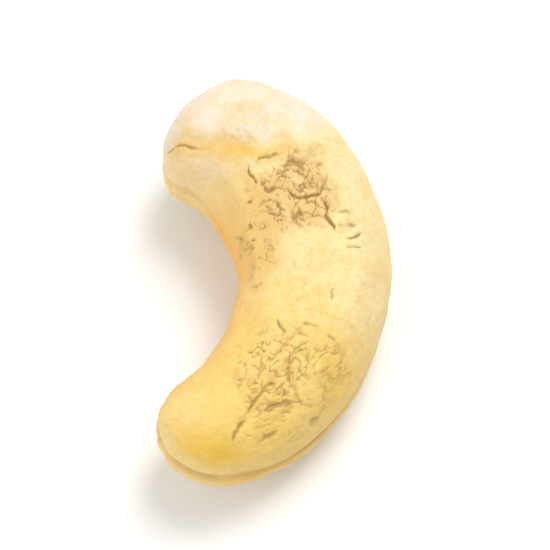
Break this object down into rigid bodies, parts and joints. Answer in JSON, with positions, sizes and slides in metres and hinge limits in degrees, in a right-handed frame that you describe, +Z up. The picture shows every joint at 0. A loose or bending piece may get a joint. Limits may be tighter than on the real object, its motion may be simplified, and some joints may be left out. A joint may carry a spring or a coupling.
{
  "type": "cashew kernel",
  "caption": "Shelled cashew kernel: a crescent-shaped seed with a groove between its halves and a creased side, lying flat on a small resting spot.",
  "frame": {"origin": "middle of the outline seen from above, on the surface that the kernel lies on", "axes": "+Y along the crescent's long way towards its thicker lobe, -X out of its hollow side, +Z up through its thickness"},
  "size_m": [0.0154, 0.0282, 0.0099],
  "materials": {
    "kernel": "matt, slightly waxy, natural seed flesh"
  },
  "bodies": {
    "root": {"kernel": "kernel"}
  },
  "joints": []
}
